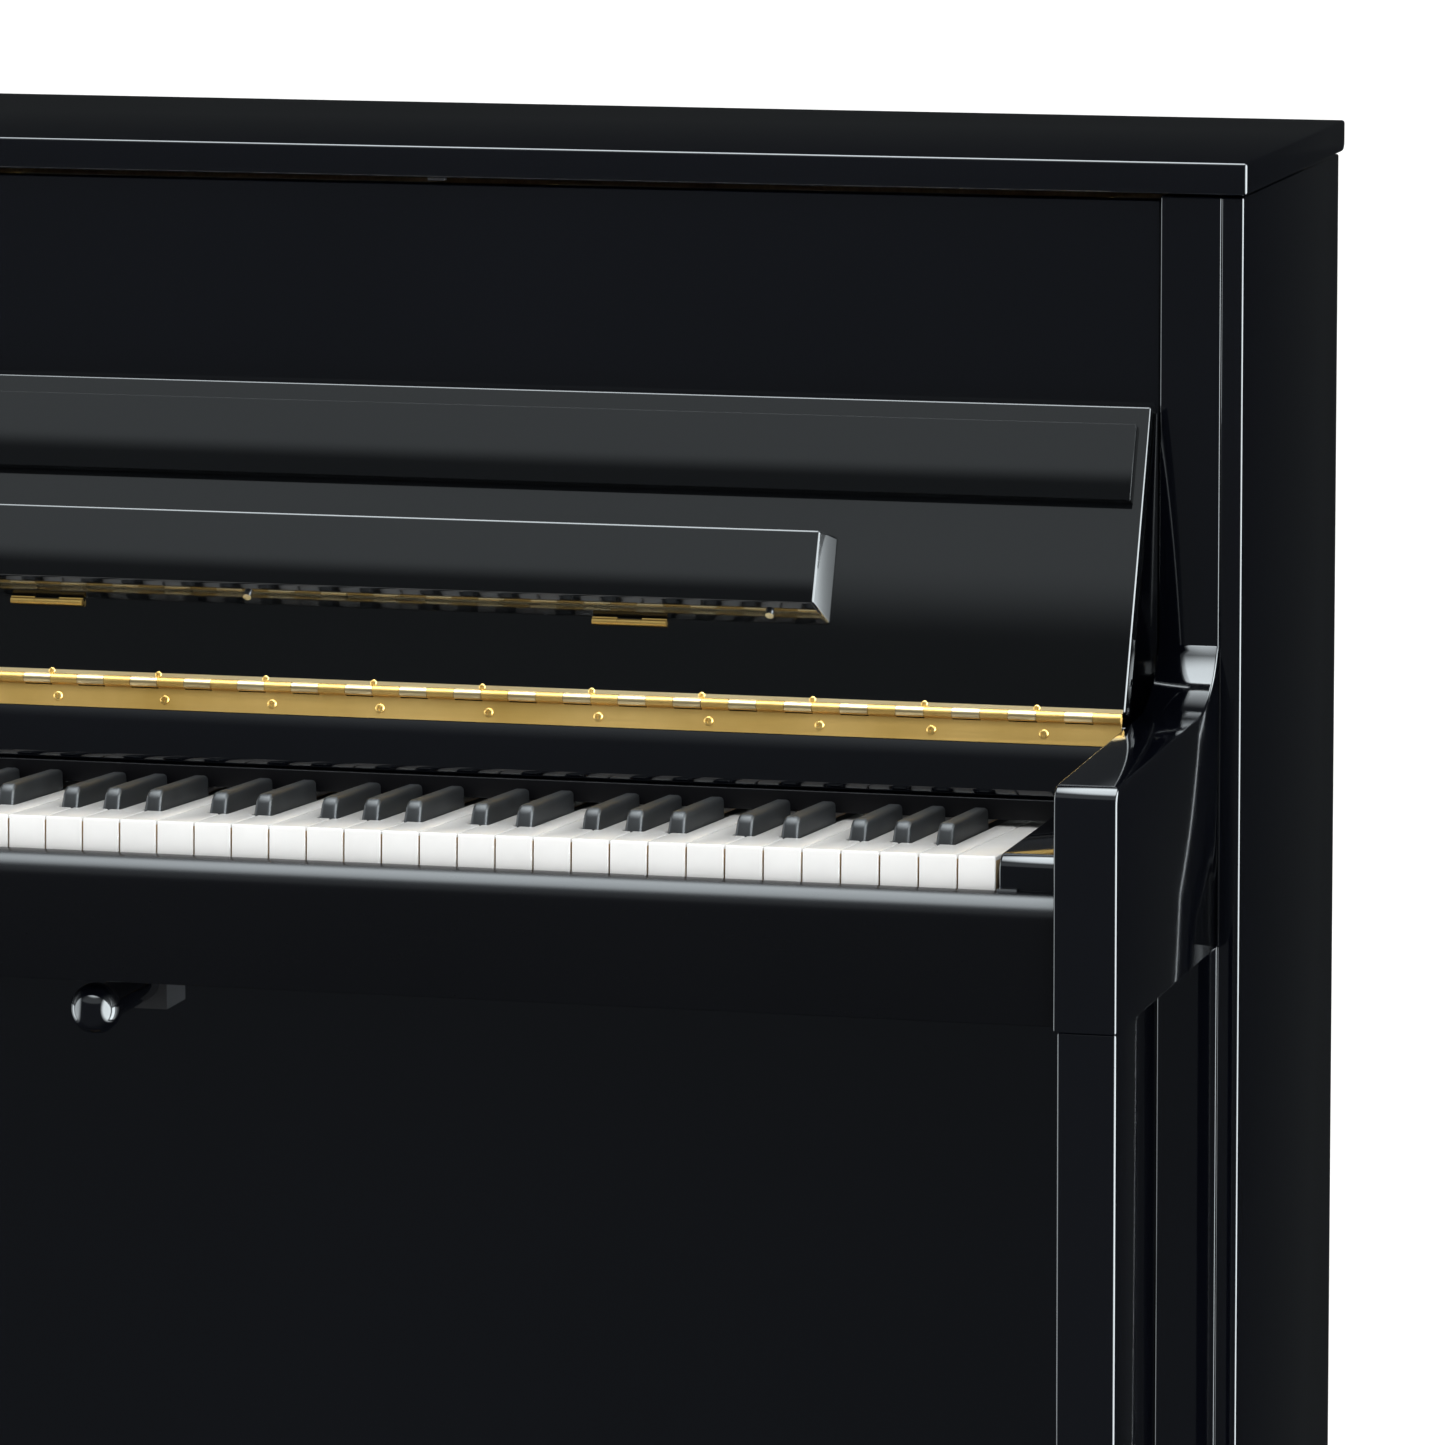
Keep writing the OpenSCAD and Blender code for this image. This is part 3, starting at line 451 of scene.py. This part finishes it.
def row_tree(name, source, material):
    """Geometry Nodes tree: copies of one small shape, evenly spaced from a start point."""
    tree = bpy.data.node_groups.new(name, "GeometryNodeTree")
    tree.interface.new_socket("Geometry", in_out="INPUT", socket_type="NodeSocketGeometry")
    tree.interface.new_socket("Count", in_out="INPUT", socket_type="NodeSocketInt")
    tree.interface.new_socket("Start", in_out="INPUT", socket_type="NodeSocketVector")
    tree.interface.new_socket("Step", in_out="INPUT", socket_type="NodeSocketVector")
    tree.interface.new_socket("Lean", in_out="INPUT", socket_type="NodeSocketVector")
    tree.interface.new_socket("Geometry", in_out="OUTPUT", socket_type="NodeSocketGeometry")
    nodes, links = tree.nodes, tree.links
    given = nodes.new("NodeGroupInput")
    line = nodes.new("GeometryNodeMeshLine")
    shape = nodes.new("GeometryNodeObjectInfo")
    shape.inputs["Object"].default_value = source
    place = nodes.new("GeometryNodeInstanceOnPoints")
    real = nodes.new("GeometryNodeRealizeInstances")
    paint = nodes.new("GeometryNodeSetMaterial")
    paint.inputs["Material"].default_value = material
    result = nodes.new("NodeGroupOutput")
    links.new(given.outputs["Count"], line.inputs["Count"])
    links.new(given.outputs["Start"], line.inputs["Start Location"])
    links.new(given.outputs["Step"], line.inputs["Offset"])
    links.new(line.outputs["Mesh"], place.inputs["Points"])
    links.new(shape.outputs["Geometry"], place.inputs["Instance"])
    links.new(given.outputs["Lean"], place.inputs["Rotation"])
    links.new(place.outputs["Instances"], real.inputs[0])
    links.new(real.outputs[0], paint.inputs["Geometry"])
    links.new(paint.outputs[0], result.inputs[0])
    return tree


def row_piece(name, source, count, start, step, lean, body, slot):
    """A row of small shapes as one finished piece."""
    carrier = bpy.data.objects.new(name + "_maker", bpy.data.meshes.new(name + "_maker"))
    bpy.context.scene.collection.objects.link(carrier)
    tree = row_tree(name + "_row", source, MATERIALS[slot])
    modifier = carrier.modifiers.new("row", "NODES")
    modifier.node_group = tree
    values = {"Count": count, "Start": start, "Step": step, "Lean": lean}
    for item in tree.interface.items_tree:
        if item.in_out == "INPUT" and item.name in values:
            modifier[item.identifier] = values[item.name]
    bpy.context.view_layer.update()
    evaluated = carrier.evaluated_get(bpy.context.evaluated_depsgraph_get())
    mesh = bpy.data.meshes.new_from_object(evaluated)
    mesh.name = name
    carrier.modifiers.remove(modifier)
    bpy.data.objects.remove(carrier)
    obj = bpy.data.objects.new(name, mesh)
    bpy.context.scene.collection.objects.link(obj)
    shade_smooth(obj, 35)
    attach(obj, body)
    return obj


def screw_shape(radius, slot_width):
    """Raised countersunk head with a cross recess, facing up its own z axis."""
    bm = bmesh.new()
    rings = [(1.0, -0.25), (1.0, 0.08), (0.88, 0.24), (0.62, 0.33)]
    sides = 24
    loops = []
    for share, height in rings:
        loops.append([bm.verts.new((radius * share * math.cos(2 * math.pi * i / sides),
                                    radius * share * math.sin(2 * math.pi * i / sides),
                                    radius * height)) for i in range(sides)])
    for low, high in zip(loops, loops[1:]):
        for i in range(sides):
            bm.faces.new((low[i], low[(i + 1) % sides], high[(i + 1) % sides], high[i]))
    bm.faces.new(loops[-1])
    bm.faces.new(list(reversed(loops[0])))
    mesh = bpy.data.meshes.new("screw_shape")
    bm.to_mesh(mesh)
    bm.free()
    head = bpy.data.objects.new("screw_shape", mesh)
    bpy.context.scene.collection.objects.link(head)
    cutters = []
    for long_x in (True, False):
        bm = bmesh.new()
        bmesh.ops.create_cube(bm, size=1)
        size = (radius * 1.15, slot_width, radius * 0.6)
        size = size if long_x else (size[1], size[0], size[2])
        bmesh.ops.scale(bm, vec=size, verts=bm.verts)
        bmesh.ops.translate(bm, vec=(0, 0, radius * 0.38), verts=bm.verts)
        cutter_mesh = bpy.data.meshes.new("recess")
        bm.to_mesh(cutter_mesh)
        bm.free()
        cutter = bpy.data.objects.new("recess", cutter_mesh)
        bpy.context.scene.collection.objects.link(cutter)
        cut = head.modifiers.new("cut", "BOOLEAN")
        cut.object = cutter
        cutters.append(cutter)
    bpy.context.view_layer.update()
    evaluated = head.evaluated_get(bpy.context.evaluated_depsgraph_get())
    finished = bpy.data.meshes.new_from_object(evaluated)
    head.modifiers.clear()
    head.data = finished
    for cutter in cutters:
        bpy.data.objects.remove(cutter)
    return head


BOARD_LEAN = math.radians(21.8)
RAIL_LEAN = math.radians(17)
HINGE_PLACE = Vector(next(j["pos_m"] for j in frame["joints"] if j["name"] == "fallboard_hinge"))
LEAF_FACE = 1.1 * MM
HINGE_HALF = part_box("long_hinge_lower")[1][0]
KNUCKLES = 79


def leaning_point(x, y, s, lean):
    """A place in axes that lean back about the long hinge: y off the hinge line, s up along the board."""
    c, n = math.cos(lean), math.sin(lean)
    return HINGE_PLACE + Vector((x, y * c + s * n, s * c - y * n))


def make_screws():
    """Screws of the long hinge's two leaves, one to every fourth knuckle."""
    step = 4 * 2 * HINGE_HALF / KNUCKLES
    count = 20
    first = 13.5 * MM - step * count / 2
    for name, radius, lean, s, shift, body in (
            ("long_hinge_screws", 3.0, RAIL_LEAN, -10.5, 0, "case"),
            ("long_hinge_top_screws", 2.1, BOARD_LEAN, 5.2, -5.5, "fallboard")):
        shape = screw_shape(radius * MM, radius * 0.28 * MM)
        start = leaning_point(first + shift * MM, LEAF_FACE, s * MM, lean)
        row_piece(name, shape, count, start, (step, 0, 0), (math.pi / 2 - lean, 0, 0), body, "brass")
        bpy.data.objects.remove(shape)


PAD_SIZE = Vector((11, 5, 1.9)) * MM
PAD_SIDE = 235 * MM
PAD_INSET = 4 * MM


def make_lid_pads():
    """Small rubber pads under the lid's front edge."""
    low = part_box("lid")[0]
    bm = bmesh.new()
    for x in (-PAD_SIDE, PAD_SIDE):
        made = bmesh.ops.create_cube(bm, size=1)
        bmesh.ops.scale(bm, vec=PAD_SIZE, verts=made["verts"])
        place = (x, low[1] + PAD_INSET, low[2] - PAD_SIZE.z / 2)
        bmesh.ops.translate(bm, vec=place, verts=made["verts"])
    ease_edges(bm, 0.4 * MM, 2)
    obj = piece_from(bm, "lid_pads", "lid", [MATERIALS["bed_black"]])
    shade_smooth(obj)


make_camera()
make_world()
make_stage()
finish_cad_nodes()
make_eased_pieces()
make_keys()
make_screws()
make_lid_pads()
